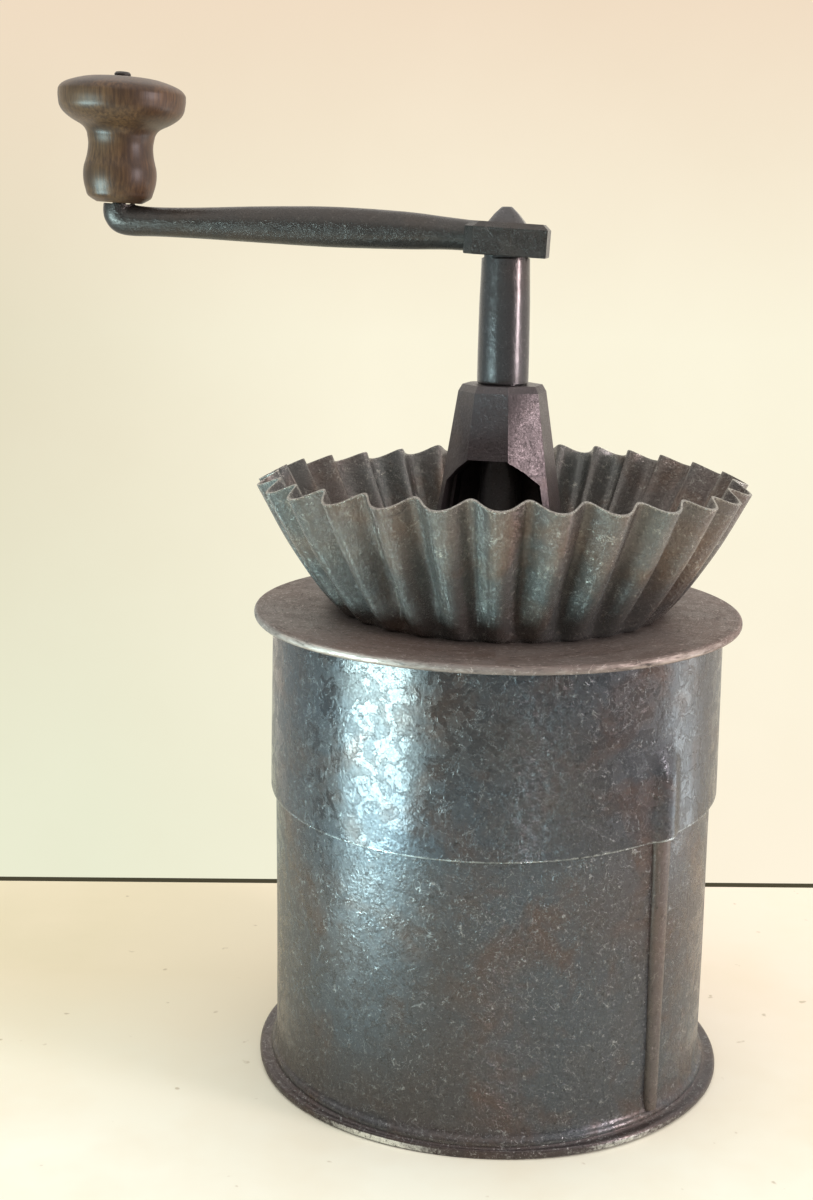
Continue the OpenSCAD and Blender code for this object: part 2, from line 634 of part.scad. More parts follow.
// Hub block: bevelled along its top and drawn in towards the arm
module hub_block() {
    side = [[0, 0], [0, hub_t - hub_bevel], [hub_bevel, hub_t], [hub_l - hub_bevel, hub_t],
            [hub_l, hub_t - hub_bevel], [hub_l, 0]];
    intersection() {
        translate([-hub_l / 2, hub_w / 2, 0]) rotate([90, 0, 0]) linear_extrude(hub_w) polygon(side);
        translate([-hub_l / 2, 0, 0]) rotate([90, 0, 90]) linear_extrude(hub_l)
            polygon([[-hub_w / 2, 0], [-hub_w / 2, hub_t - hub_bevel], [hub_bevel - hub_w / 2, hub_t],
                [hub_w / 2 - hub_bevel, hub_t], [hub_w / 2, hub_t - hub_bevel], [hub_w / 2, 0]]);
        linear_extrude(hub_t)
            polygon([[-hub_l / 2, -hub_w / 2], [hub_l / 2 - 2.5, -hub_w / 2], [hub_l / 2, 2.5 - hub_w / 2],
                [hub_l / 2, hub_w / 2 - 2.5], [hub_l / 2 - 2.5, hub_w / 2], [-hub_l / 2, hub_w / 2]]);
    }
}

// Profile of the turned knob, as [radius, share of the height]
knob_line = [[0.63 * bulb_r, 0], [0.86 * bulb_r, 0.045], [0.97 * bulb_r, 0.14], [bulb_r, 0.235],
             [0.935 * bulb_r, 0.33], [neck_r, 0.44], [neck_r * 1.03, 0.53], [0.61 * knob_r, 0.61],
             [0.79 * knob_r, 0.66], [0.92 * knob_r, 0.71], [0.985 * knob_r, 0.77], [knob_r, 0.84],
             [0.98 * knob_r, 0.89], [0.87 * knob_r, 0.935], [0.58 * knob_r, 0.98], [pin_head_r + 0.3, 1]];

// Turned wooden knob, free on its pin
module knob() color("#6b4a35") {
    steps = 40;
    translate([0, 0, hub_z]) rotate([0, 0, crank_turn_angle]) rotate([0, -crank_tilt, 0])
        translate([crank_r, 0, knob_seat]) rotate_extrude()
            polygon(concat([[pin_r + run_gap, 0]],
                [for (i = [0:steps]) let (p = smooth(knob_line, i / steps)) [p[0], p[1] * knob_h]],
                [[pin_r + run_gap, knob_h]]));
}

base_plate();
receiver_can();
key_rib();
sleeve();
top_plate();
hopper();
bridge();
bridge_rivets();
burr_ring();
stirrup();
stirrup_rivets();
lock_nut();
footstep();
spindle();
burr_cone();
cone_pin();
crank_arm();
knob_pin();
knob();
adjusting_screw();
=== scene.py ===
import math
import bmesh
import bpy
import numpy as np
from mathutils import Matrix, Vector


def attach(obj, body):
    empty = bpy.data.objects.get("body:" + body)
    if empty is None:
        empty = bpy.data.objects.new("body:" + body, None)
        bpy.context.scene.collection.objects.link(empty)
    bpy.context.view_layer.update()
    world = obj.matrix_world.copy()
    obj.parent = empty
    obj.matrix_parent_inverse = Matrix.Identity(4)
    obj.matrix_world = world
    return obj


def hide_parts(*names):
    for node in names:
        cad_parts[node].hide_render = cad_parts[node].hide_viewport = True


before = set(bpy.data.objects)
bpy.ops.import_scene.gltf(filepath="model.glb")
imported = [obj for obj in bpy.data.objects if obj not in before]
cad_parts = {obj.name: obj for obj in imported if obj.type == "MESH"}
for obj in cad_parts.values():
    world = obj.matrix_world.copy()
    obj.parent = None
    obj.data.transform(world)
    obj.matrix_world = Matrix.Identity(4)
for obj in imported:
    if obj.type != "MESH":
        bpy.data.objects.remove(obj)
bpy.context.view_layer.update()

# Camera: a 51 mm lens on a frame 36 mm tall, held 23 cm above the table and
# 45 cm in front of the mill, tipped 12 degrees down and turned 3 to the left.
CAMERA_AT = (0, -0.4545, 0.2295)
TIP_DOWN, TURN, LEAN = np.radians([12.199, -3.116, 0.825])
ahead = Vector((math.sin(TURN) * math.cos(TIP_DOWN), math.cos(TURN) * math.cos(TIP_DOWN), -math.sin(TIP_DOWN)))
level = Vector((math.cos(TURN), -math.sin(TURN), 0))
upward = level.cross(ahead)
camera = bpy.data.objects.new("camera", bpy.data.cameras.new("camera"))
camera.data.sensor_fit = "VERTICAL"
camera.data.sensor_width = camera.data.sensor_height = 36
camera.data.lens = 51.006
camera.matrix_world = Matrix.Translation(CAMERA_AT) @ Matrix((
    math.cos(LEAN) * level + math.sin(LEAN) * upward,
    -math.sin(LEAN) * level + math.cos(LEAN) * upward,
    -ahead)).transposed().to_4x4()
bpy.context.scene.collection.objects.link(camera)
bpy.context.scene.camera = camera
bpy.context.scene.view_settings.view_transform = "Standard"


# Table and wall: a narrow painted table that ends a hand's breadth behind the
# mill, a dark strip of painted shade for the gap, and the cream wall. The wall's colour,
# with its painted light and shade, is laid flat beyond the gap, so that nothing stands in the way of a view from
# behind.
def linear(colour):
    """sRGB hex to linear RGBA: c / 12.92 where dark, else ((c + 0.055) / 1.055) to the power 2.4."""
    c = np.array([int(colour[i:i + 2], 16) for i in (1, 3, 5)]) / 255
    return (*np.where(c > 0.04045, ((c + 0.055) / 1.055) ** 2.4, c / 12.92), 1)


def add(tree, kind, inputs=None, **settings):
    """Adds one node. inputs maps a socket's name or number to a value or to another node's output."""
    made = tree.nodes.new(kind)
    for name, value in settings.items():
        setattr(made, name, value)
    for key, value in (inputs or {}).items():
        if isinstance(value, bpy.types.NodeSocket):
            tree.links.new(value, made.inputs[key])
        else:
            made.inputs[key].default_value = value
    return made


def maths(tree, operation, first, second=0.0):
    return add(tree, "ShaderNodeMath", {0: first, 1: second}, operation=operation).outputs[0]


def ramp(tree, value, low, high, start=0.0, end=1.0):
    """start where the value is at most low, end where it is at least high, straight in between."""
    return add(tree, "ShaderNodeMapRange", {"Value": value, "From Min": low, "From Max": high,
                                            "To Min": start, "To Max": end}).outputs[0]


def mix(tree, factor, first, second):
    return add(tree, "ShaderNodeMix", {"Factor": factor, 6: first, 7: second}, data_type="RGBA").outputs[2]


def noise(tree, place, scale, detail=2.0, rough=0.5, bend=0.0):
    return add(tree, "ShaderNodeTexNoise", {"Vector": place, "Scale": scale, "Detail": detail, "Roughness": rough,
                                            "Distortion": bend}).outputs["Fac"]


def wall_colour_with_painted_light(tree, way):
    """The wall's colour, with painted light and shade, in the direction way from where the camera stands: greyer
    above, pinker low to the right and greener low to the left, as painted light and shade, and faintly cloudy.
    Rise and offset are z / y and x / y."""
    parts = add(tree, "ShaderNodeSeparateXYZ", {0: way})
    rise = maths(tree, "DIVIDE", parts.outputs["Z"], parts.outputs["Y"])
    aside = maths(tree, "DIVIDE", parts.outputs["X"], parts.outputs["Y"])
    low = mix(tree, ramp(tree, aside, -0.25, 0.12), linear("#eceed4"), linear("#fff4dd"))
    middle = mix(tree, ramp(tree, aside, -0.3, -0.08), linear("#e7e0c6"), linear("#fdf7df"))
    high = mix(tree, ramp(tree, rise, -0.06, 0.13), middle, linear("#f2dec5"))
    shade = mix(tree, ramp(tree, rise, -0.36, -0.12), low, high)
    along = add(tree, "ShaderNodeVectorMath", {0: way}, operation="NORMALIZE").outputs[0]
    return mix(tree, ramp(tree, noise(tree, along, 7, 5, 0.6), 0.35, 0.7, 0, 0.06), shade, linear("#c9b48c"))


TABLE_END, TABLE_SLANT, GAP = 0.1238, 0.0697, 0.0041
TABLE_LEFT, TABLE_RIGHT, TABLE_FRONT = -0.2, 0.24, -0.33

table = bpy.data.objects.new("table", bpy.data.meshes.new("table"))
table.data.from_pydata([(TABLE_LEFT, TABLE_FRONT, 0), (TABLE_RIGHT, TABLE_FRONT, 0), (TABLE_RIGHT, 3, 0),
                        (TABLE_LEFT, 3, 0)], [], [(0, 1, 2, 3)])
bpy.context.scene.collection.objects.link(table)

painted = bpy.data.materials.new("painted_table")
painted.use_nodes = True
tree = painted.node_tree
tree.nodes.clear()
place = add(tree, "ShaderNodeTexCoord").outputs["Object"]
parts = add(tree, "ShaderNodeSeparateXYZ", {0: place})
# Painted shade: the table is painted darker towards the left and lighter towards the front.
table_colour_and_painted_shade = mix(tree, ramp(tree, parts.outputs["X"], -0.13, 0.02), linear("#e6dcbe"), linear("#f7ecd9"))
table_colour_and_painted_shade = mix(tree, ramp(tree, parts.outputs["Y"], 0.04, -0.07), table_colour_and_painted_shade, linear("#fbfcec"))
table_colour_and_painted_shade = mix(tree, ramp(tree, noise(tree, place, 14, 4, 0.6), 0.4, 0.7, 0, 0.5), table_colour_and_painted_shade, linear("#f0e4c9"))
table_colour_and_painted_shade = mix(tree, ramp(tree, noise(tree, place, 170, 2), 0.72, 0.77, 0, 0.6), table_colour_and_painted_shade, linear("#b9aa8c"))
paint = add(tree, "ShaderNodeBsdfDiffuse", {"Color": table_colour_and_painted_shade})
from_camera = add(tree, "ShaderNodeVectorMath", {0: place, 1: CAMERA_AT}, operation="SUBTRACT").outputs[0]
wall_glow = add(tree, "ShaderNodeEmission", {"Color": wall_colour_with_painted_light(tree, from_camera)})
wall_paint = add(tree, "ShaderNodeBsdfDiffuse", {"Color": linear("#fcf4de")})
rays = add(tree, "ShaderNodeLightPath").outputs
wall = add(tree, "ShaderNodeMixShader", {0: maths(tree, "MAXIMUM", rays["Is Camera Ray"], rays["Is Glossy Ray"]),
                                         1: wall_paint.outputs[0], 2: wall_glow.outputs[0]})
# Painted shade: a dark strip stands in for the shaded gap between the table and the wall.
gap_painted_shade = add(tree, "ShaderNodeBsdfDiffuse", {"Color": linear("#474436")})
depth = maths(tree, "SUBTRACT", parts.outputs["Y"], maths(tree, "MULTIPLY", parts.outputs["X"], TABLE_SLANT))
ground = add(tree, "ShaderNodeMixShader", {0: maths(tree, "GREATER_THAN", depth, TABLE_END),
                                           1: paint.outputs[0], 2: gap_painted_shade.outputs[0]})
ground = add(tree, "ShaderNodeMixShader", {0: maths(tree, "GREATER_THAN", depth, TABLE_END + GAP),
                                           1: ground.outputs[0], 2: wall.outputs[0]})
add(tree, "ShaderNodeOutputMaterial", {"Surface": ground.outputs[0]})
table.data.materials.append(painted)

# Light: a cool bright window that the mill sees past the table's left edge, a
# weaker one past its right edge, a lamp to the right, and a room that is bright
# above, behind and to the right, and dim behind the camera.
world = bpy.data.worlds.new("room")
world.use_nodes = True
bpy.context.scene.world = world
tree = world.node_tree
tree.nodes.clear()
way = add(tree, "ShaderNodeTexCoord").outputs["Generated"]
parts = add(tree, "ShaderNodeSeparateXYZ", {0: way})
room = mix(tree, ramp(tree, parts.outputs["X"], -0.6, 0.6), (0.3, 0.31, 0.32, 1), (1.15, 1.04, 0.98, 1))
room = mix(tree, ramp(tree, parts.outputs["Y"], -0.75, -0.1), (0.22, 0.21, 0.2, 1), room)
room = mix(tree, ramp(tree, parts.outputs["Y"], 0.1, 0.8), room, (1.0, 0.93, 0.8, 1))
room = mix(tree, ramp(tree, parts.outputs["Z"], 0.25, 0.7), room, (1.3, 1.27, 1.22, 1))
lit = add(tree, "ShaderNodeBackground", {"Color": room})
shown = add(tree, "ShaderNodeBackground", {"Color": wall_colour_with_painted_light(tree, way)})
seen = add(tree, "ShaderNodeLightPath").outputs["Is Camera Ray"]
mixed = add(tree, "ShaderNodeMixShader", {0: seen, 1: lit.outputs[0], 2: shown.outputs[0]})
add(tree, "ShaderNodeOutputWorld", {"Surface": mixed.outputs[0]})

for name, at, size, colour, power in (
        ("window", (-0.89, -0.56, -0.16), (0.64, 0.26), (0.66, 0.95, 0.98), 17),
        ("far_window", (0.87, 0.23, -0.16), (0.36, 0.3), (0.86, 0.97, 1.0), 1.4),
        ("lamp", (0.9, -0.42, 0.26), (0.2, 0.3), (1.0, 0.86, 0.88), 5.5)):
    lamp = bpy.data.lights.new(name, "AREA")
    lamp.shape = "RECTANGLE"
    lamp.size, lamp.size_y = size
    lamp.color, lamp.energy = colour, power
    holder = bpy.data.objects.new(name, lamp)
    holder.location = at
    holder.rotation_mode = "QUATERNION"
    holder.rotation_quaternion = (Vector((0, 0, 0.1)) - Vector(at)).to_track_quat("-Z", "Y")
    holder.visible_camera = False
    bpy.context.scene.collection.objects.link(holder)


# Base plate: a disc of sheet iron whose edge is folded up and back over the can's
# flange. It stands on the table and is worn bright along its rounded edge, with painted highlights on that edge left
# and right of the front.
def turned(profile, columns, lift=0, widen=0):
    """Profile carried round the axis: (r sin a, -r cos a, z) in mm, with the angle a from the front to the
    right. The profile runs anticlockwise in r and z. lift and widen are added to z and r, as grids."""
    r, z = np.array(profile, float).T[:, :, None]
    a = around(columns)
    r, z = r + widen + 0 * a, z + lift + 0 * a
    return np.stack([r * np.sin(a), -r * np.cos(a), z], -1)


def around(columns):
    """The angle of each column, as a row."""
    return np.linspace(0, 2 * np.pi, columns, endpoint=False)[None, :]


def arc(centre, radius, start, end, steps):
    """Points of an arc in the profile's plane: centre + radius (cos t, sin t), from start to end in degrees."""
    t = np.radians(np.linspace(start, end, steps))
    return [(centre[0] + radius * math.cos(q), centre[1] + radius * math.sin(q)) for q in t]


def marks(profile, test):
    """A column with test(r, z) for each point of the profile."""
    return np.array([float(test(r, z)) for r, z in profile])[:, None]


def uneven(a, z, size, seed, cycles=9):
    """Unevenness of hand-worked sheet: size times a sum of sines of whole turns of the angle a and of the
    height z."""
    waves = np.random.default_rng(seed)
    turns = waves.integers(1, cycles, 12)
    return size * sum(np.sin(m * a + f * z + p) / (1 + 0.3 * m) for m, f, p in
                      zip(turns, waves.uniform(-0.09, 0.09, 12), waves.uniform(0, 6.3, 12)))


def piece(name, shells, body, nodes, sharp=38):
    """One object of closed shells. Each shell is (grid of points in mm, wear and painted light and shade of each
    point, rows joined too): a face joins four neighbours, and the columns always close."""
    points, faces, wear_and_painted_light, start = [], [], [], 0
    for grid, worn_and_painted_light, closed in shells:
        index = start + np.arange(grid.shape[0] * grid.shape[1]).reshape(grid.shape[:2])
        here, above = (index, np.roll(index, -1, 0)) if closed else (index[:-1], index[1:])
        faces.append(np.stack([here, np.roll(here, -1, 1), np.roll(above, -1, 1), above], -1).reshape(-1, 4))
        points.append(grid.reshape(-1, 3) / 1000)
        wear_and_painted_light.append(np.broadcast_to(worn_and_painted_light, grid.shape[:2]).ravel())
        start += index.size
    mesh = bpy.data.meshes.new(name)
    mesh.from_pydata(np.concatenate(points), [], np.concatenate(faces).tolist())
    mesh.attributes.new("wear_and_painted_light", "FLOAT", "POINT").data.foreach_set("value", np.concatenate(wear_and_painted_light).astype(np.float32))
    build = bmesh.new()
    build.from_mesh(mesh)
    bmesh.ops.remove_doubles(build, verts=build.verts, dist=1e-6)
    build.to_mesh(mesh)
    build.free()
    mesh.shade_smooth()
    mesh.set_sharp_from_angle(angle=math.radians(sharp))
    made = bpy.data.objects.new(name, mesh)
    bpy.context.scene.collection.objects.link(made)
    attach(made, body)
    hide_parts(*nodes)
    return made


def iron(name, scale, cool, rust, worn_and_painted_light, metallic=0.6, rough=(0.24, 0.36), relief=0.07, grain=1.0, hair=1.0,
         gloss=0.5, swirl=False):
    """Old sheet or forged iron: dark burnt scale, faint cooler and browner patches, crisp islands that are
    smoother, an orange peel relief mm high and grain mm wide, steps where scale has flaked, pits, hair-fine
    curled scratches, light specks, bright metal where wear and painted highlights bring the attribute to 1, and
    painted shade where the attribute is below 0. swirl draws the grain out round the axis."""
    made = bpy.data.materials.new(name)
    made.use_nodes = True
    tree = made.node_tree
    shader = tree.nodes["Principled BSDF"]
    place = add(tree, "ShaderNodeTexCoord").outputs["Object"]
    drawn = place
    if swirl:
        x, y, z = add(tree, "ShaderNodeSeparateXYZ", {0: place}).outputs
        radius = maths(tree, "SQRT", maths(tree, "ADD", maths(tree, "MULTIPLY", x, x), maths(tree, "MULTIPLY", y, y)))
        drawn = add(tree, "ShaderNodeCombineXYZ", {0: radius, 1: maths(
            tree, "MULTIPLY", maths(tree, "ARCTAN2", x, y), 0.014), 2: z}).outputs[0]
    patch = noise(tree, drawn, 55, 5, 0.6, 0.4)
    isle = ramp(tree, noise(tree, place, 210, 6, 0.65, 0.7), 0.49, 0.505)
    peel = noise(tree, drawn, 900 / grain, 3, 0.65)
    grit = noise(tree, drawn, 2600, 1)
    flake = maths(tree, "FLOOR", maths(tree, "MULTIPLY", noise(tree, drawn, 430 / grain, 5, 0.62, 0.8), 14))
    colour = mix(tree, ramp(tree, noise(tree, place, 24, 4, 0.55), 0.38, 0.62), linear(scale), linear(cool))
    colour = mix(tree, ramp(tree, patch, 0.5, 0.68, 0, 0.7), colour, linear(rust))
    lines = []
    for size, width in ((160, 0.007), (330, 0.011)):  # scratches about 6 and 3 mm long
        off_line = maths(tree, "ABSOLUTE", maths(tree, "SUBTRACT", noise(tree, place, size, 3, 0.5, 0.5), 0.5))
        kept = ramp(tree, noise(tree, place, 2.3 * size, 1), 0.52, 0.57)
        lines.append(maths(tree, "MULTIPLY", ramp(tree, off_line, 0, width, 1, 0), kept))
    scratch = maths(tree, "MAXIMUM", *lines)
    speck = ramp(tree, grit, 0.62, 0.8, 0, 0.35 * hair)
    pale = maths(tree, "MAXIMUM", maths(tree, "MULTIPLY", scratch, 0.45 * hair), speck)
    wear_and_painted_light = add(tree, "ShaderNodeAttribute", attribute_name="wear_and_painted_light").outputs["Fac"]
    # Bright worn metal, and painted highlights, where the attribute is high.
    rub_and_painted_light = ramp(tree, maths(tree, "ADD", wear_and_painted_light, peel), 0.95, 1.4)
    # Pits, and painted shade where the attribute is below 0, go towards near-black.
    pits_and_painted_shade = maths(tree, "MAXIMUM", ramp(tree, peel, 0.3, 0.42, 0.6, 0), ramp(tree, wear_and_painted_light, 0, -1, 0, 0.85))
    colour = mix(tree, pits_and_painted_shade, mix(tree, maths(tree, "MAXIMUM", pale, rub_and_painted_light), colour, linear(worn_and_painted_light)), linear("#2b2a29"))
    tree.links.new(colour, shader.inputs["Base Color"])
    tree.links.new(ramp(tree, rub_and_painted_light, 0, 1, metallic, 1), shader.inputs["Metallic"])
    sheen = maths(tree, "ADD", ramp(tree, isle, 0, 1, rough[1], rough[0]), ramp(tree, grit, 0.35, 0.65, 0.05, -0.05))
    tree.links.new(maths(tree, "SUBTRACT", sheen, ramp(tree, wear_and_painted_light, 0, -1, 0, -0.15)), shader.inputs["Roughness"])
    shader.inputs["Specular IOR Level"].default_value = gloss
    height = maths(tree, "ADD", maths(tree, "ADD", peel, maths(tree, "MULTIPLY", scratch, 0.3)),
                   maths(tree, "ADD", maths(tree, "MULTIPLY", isle, 0.3), maths(tree, "MULTIPLY", flake, 0.22)))
    fine = add(tree, "ShaderNodeBump", {"Height": height, "Strength": 1.0, "Distance": relief / 1000})
    lumps = add(tree, "ShaderNodeBump", {"Height": noise(tree, place, 170, 3), "Strength": 1.0, "Distance": 0.00014,
                                         "Normal": fine.outputs[0]})
    tree.links.new(lumps.outputs[0], shader.inputs["Normal"])
    return made


def from_front(a):
    """The angle a in degrees from the front, between -180 and 180, positive to the right."""
    return (np.degrees(a) + 180) % 360 - 180


def knocked_in(a):
    """How far the foot's edge is knocked in, most a little left of the front: 2.75 exp(-((turn + 8) / 42)^2) mm."""
    return 2.75 * np.exp(-((from_front(a) + 8) / 42) ** 2)


BASE = 65.2
profile = [(0, 0), (40, 0), (60, 0), *arc((BASE - 1.1, 1.1), 1.1, -90, 0, 8),
           *arc((BASE - 1.1, 1.3), 1.1, 0, 78, 8), (63.4, 2.42), (62.6, 2.48), (62.0, 2.7), (61.65, 3.1),
           (61.4, 3.5), (60.9, 3.5), (60.9, 1.7), (64.3, 1.65), (64.35, 0.85), (61, 0.8), (30, 0.8), (0, 0.8)]
a = around(256)
turn = from_front(a)
rim = marks(profile, lambda r, z: r > 60.5)
pushed = marks(profile, lambda r, z: min(max((r - 61.5) / 3.7, 0), 1))
edge_on = marks(profile, lambda r, z: 1 if r > BASE - 0.5 and z < 1.9 else 0.3 if r > BASE - 1.2 and z > 1 else 0)
# Painted highlight: the edge wear is painted brighter a little left of the front and right of the front, where the
# edge catches the light.
edge_wear_and_painted_glint = 0.2 + 0.75 * np.exp(-((turn + 26) / 15) ** 2) + 0.5 * np.exp(-((turn - 35) / 15) ** 2)
base_grid = turned(profile, 256, lift=rim * np.maximum(0.1 + uneven(a, 0, 0.12, 3), 0),
                   widen=pushed * (uneven(a, 0, 0.1, 4) - knocked_in(a)))
base = piece("base_plate_hemmed", [(base_grid, edge_on * edge_wear_and_painted_glint, False)], "receiver", ["base_plate"])
base.data.materials.append(iron("base_sheet_iron", "#4d4544", "#4a4546", "#51443f", "#e6e9e6",
                                rough=(0.3, 0.42)))

# Can: sheet iron rolled to a tube, with a bead and a flange at its foot and a
# folded edge inside its mouth. It catches the ground coffee.
CAN, SHEET = 60.0, 0.8
foot = [(CAN - SHEET, 0.83), (64.0, 0.83), (64.05, 1.2), (64.0, 1.58), (61.6, 1.62), (61.3, 1.9), (61.25, 2.3),
        *arc((59.7, 3.45), 1.95, -32, 56, 12), (60.45, 6.0), (60.2, 7.2), (60.05, 8.6)]
walls = [(CAN, z) for z in np.linspace(10, 127.4, 60)]
mouth = arc((CAN - 0.8, 128.2), 0.8, 0, 180, 9)
inside = [(CAN - 2 * SHEET, 124.2), (CAN - SHEET, 124)] + [(CAN - SHEET, z) for z in (110, 80, 50, 20)]
profile = foot + walls + mouth + inside
a = around(320)
z = np.array(profile)[:, 1:]
# Painted highlight: a lighter line along the bead's crest.
rub_and_painted_light = marks(profile, lambda r, z: 0.35 if 4 < z < 5 and r > 61 else 0)
flange = marks(profile, lambda r, z: r > 63) * -knocked_in(a)
can_grid = turned(profile, 320, widen=flange + uneven(a, z, 0.055, 5) * np.clip((z - 4) / 10, 0, 1))
can = piece("receiver_can_rolled", [(can_grid, rub_and_painted_light + 0 * a, True)], "receiver", ["receiver_can"])
can.data.materials.append(iron("can_sheet_iron", "#504d4d", "#4c5156", "#584840", "#a6a9a9", rough=(0.25, 0.36),
                               relief=0.1, hair=1.6))

# Key rib: a half-round strip soldered up the can, slim at its square foot and
# wide at its head. It keeps the head from turning.
RIB_TURN = math.radians(46)
up = np.concatenate([[5.2, 5.3, 5.6], np.linspace(7, 97, 46), [97.5, 97.7]])[:, None]
share = (up - 5.2) / 92.5
half = 2.1 + 1.1 * share - 0.15 * (up < 5.25) - 0.4 * (up > 97.6)
proud = 2.2 - 0.2 * (up < 5.25) - 0.5 * (up > 97.6)
t = np.linspace(-np.pi, np.pi, 40, endpoint=False)[None, :]
side = half * np.cos(t) * (1 + 0.03 * np.sin(up / 6))
out = CAN - 0.5 + (proud + 0.5) * np.where(np.sin(t) > 0, np.abs(np.sin(t)) ** 0.75, 0) - 0.3 * (np.sin(t) < -0.3)
outward = np.array([math.sin(RIB_TURN), -math.cos(RIB_TURN)])
sideways = np.array([math.cos(RIB_TURN), math.sin(RIB_TURN)])
strip = np.stack([out * outward[0] + side * sideways[0], out * outward[1] + side * sideways[1], up + 0 * t], -1)
strip = strip[:, ::-1]
ends = [np.broadcast_to(row.mean(0), (1, *row.shape)) for row in (strip[0], strip[-1])]
strip = np.concatenate([ends[0], strip, ends[1]])
rib = piece("key_rib_strip", [(strip, 0.3, False)], "receiver", ["key_rib"])
rib.data.materials.append(iron("rib_iron", "#5e5552", "#5f5a58", "#665952", "#aaa29b", rough=(0.32, 0.44)))

# Sleeve: the skirt of the head, which slides over the can. Its lower edge was
# trimmed by hand, and a channel for the rib was pressed outwards in it.
SLEEVE, SLEEVE_Z, PLATE_Z = 61.3, 79.7, 129.2
a = around(512)
rows = np.linspace(0, 1, 40)
trim = np.clip(1.32 - 1.93 * np.cos(a) + 0.86 * np.sin(a), -0.9, 1.5)  # height of the hand-trimmed edge
profile = [(61.3, 0.0), (61.32, 0.02), *[(61.4 - 0.3 * s, s) for s in 0.012 + 0.969 * rows],
           (61.6, 0.984), (65.0, 0.985), (65.0, 0.999), (61.0, 1.0),
           *[(60.5, s) for s in rows[::-4]], (60.55, 0.0), (60.8, -0.004), (61.1, -0.004)]
r, s = np.array(profile).T[:, :, None]
z = SLEEVE_Z + trim + (PLATE_Z - SLEEVE_Z - trim) * s
fade = np.clip((108 - z) / 14, 0, 1)
fade = fade * fade * (3 - 2 * fade)
across = (np.degrees(a) - 46) * SLEEVE * math.pi / 180
bulge = 2.0 * fade * np.exp(-np.abs(across / (3.6 + 0.5 * (across < 0))) ** 2.6)
sleeve_grid = turned(np.stack([r[:, 0], 0 * r[:, 0]], -1), 512, lift=z,
                     widen=bulge + uneven(a, z, 0.075, 11) * (s < 0.96))
rub_and_painted_light = np.clip(1 - (z - SLEEVE_Z - trim) / 0.5, 0, 1) * 0.8 * (r > 60.9) + 0.35 * (bulge > 1.7)
sleeve = piece("sleeve_pressed", [(sleeve_grid, rub_and_painted_light, True)], "mill_head", ["sleeve"])
sleeve.data.materials.append(iron("sleeve_sheet_iron", "#4c4a4a", "#474c52", "#54433b", "#a3a8a8",
                                  rough=(0.18, 0.32)))

# Top plate: a disc of sheet iron that closes the head. Its edge is folded down
# and back under the sleeve's flange and rubbed bright, with painted highlights left and right of the front; its face
# is scoured, and painted shade darkens it round the hopper's foot.
PLATE = 66.05
profile = [(17, PLATE_Z), (61.5, PLATE_Z), (65.2, 129.15), (65.2, 128.45), (61.55, 128.4), (61.5, 127.9),
           (61.8, 127.65), (63, 127.6), *arc((PLATE - 1.1, 128.7), 1.1, -90, 0, 8),
           *arc((PLATE - 1.1, 128.9), 1.1, 0, 90, 8),
           (64, 129.95), (62.6, 130.0), (60, 130), (58.5, 130), (55, 130), (49, 130), (45, 130), (17, 130)]
a = around(360)
rim = marks(profile, lambda r, z: min(max((r - 50) / 14, 0), 1))
turn = from_front(a)
# Painted highlight: the rim's worn edge is painted brighter left of the front and right of the front. Painted shade
# darkens the plate inside r 46, round the hopper's foot; the plate is lighter from r 58 to near its rim.
edge_wear_and_painted_glint = 0.3 + 0.6 * np.exp(-((turn + 38) / 22) ** 2) + 0.4 * np.exp(-((turn - 42) / 20) ** 2)
rub_and_painted_light = marks(profile, lambda r, z: r > PLATE - 0.35) * edge_wear_and_painted_glint + marks(
    profile, lambda r, z: 0.3 if 58 < r < PLATE - 1 else -0.5 if r < 46 else 0)
plate = piece("top_plate_hemmed", [(turned(profile, 360, lift=rim * uneven(a, 0, 0.07, 21),
                                           widen=rim * uneven(a, 0, 0.06, 22, 14)), rub_and_painted_light + 0 * a, True)],
              "mill_head", ["top_plate"])
plate.data.materials.append(iron("plate_sheet_iron", "#82736c", "#7d736e", "#5f4b42", "#c4b8b0", metallic=0.15,
                                 rough=(0.46, 0.58), gloss=0.25, swirl=True, relief=0.15, hair=1.8))


# Hopper: one sheet pressed into 28 uneven flutes that die away towards its flat
# floor, with a scalloped rim. It is riveted and soldered to the top plate.
def smooth(points, t):
    """Catmull-Rom curve through the points at t from 0 to 1."""
    p = np.array(points, float)
    p = np.concatenate([p[:1], p, p[-1:]])
    at = np.clip(np.asarray(t, float), 0, 1) * (len(p) - 3)
    i = np.minimum(at.astype(int), len(p) - 4)
    f = (at - i)[..., None]
    q0, q1, q2, q3 = p[i], p[i + 1], p[i + 2], p[i + 3]
    return 0.5 * (2 * q1 + (q2 - q0) * f + (2 * q0 - 5 * q1 + 4 * q2 - q3) * f ** 2
                  + (3 * q1 - q0 - 3 * q2 + q3) * f ** 3)


FLUTES, FLOOR_R, RIM, HOPPER_H = 28, 42.5, 66.1, 34.8
run = RIM - FLOOR_R
crest = [(FLOOR_R, 1.2), (FLOOR_R + 0.09 * run, 2.1), (FLOOR_R + 0.32 * run, 8.456),
         (FLOOR_R + 0.66 * run, 20.64), (RIM - 0.4, HOPPER_H)]
a = around(FLUTES * 20)
s = np.linspace(0, 1, 26)
middle, tangent = smooth(crest, s), smooth(crest, s + 0.02) - smooth(crest, s - 0.02)
normal = np.stack([tangent[:, 1], -tangent[:, 0]], -1) / np.linalg.norm(tangent, axis=1)[:, None]


def swell(at, spread, height):
    """A swell of the given height round the angle at, fading over spread: height exp(-((a - at) / spread)^2)."""
    off = (np.degrees(a) - at + 540) % 360 - 180
    return height * np.exp(-(off / spread) ** 2)


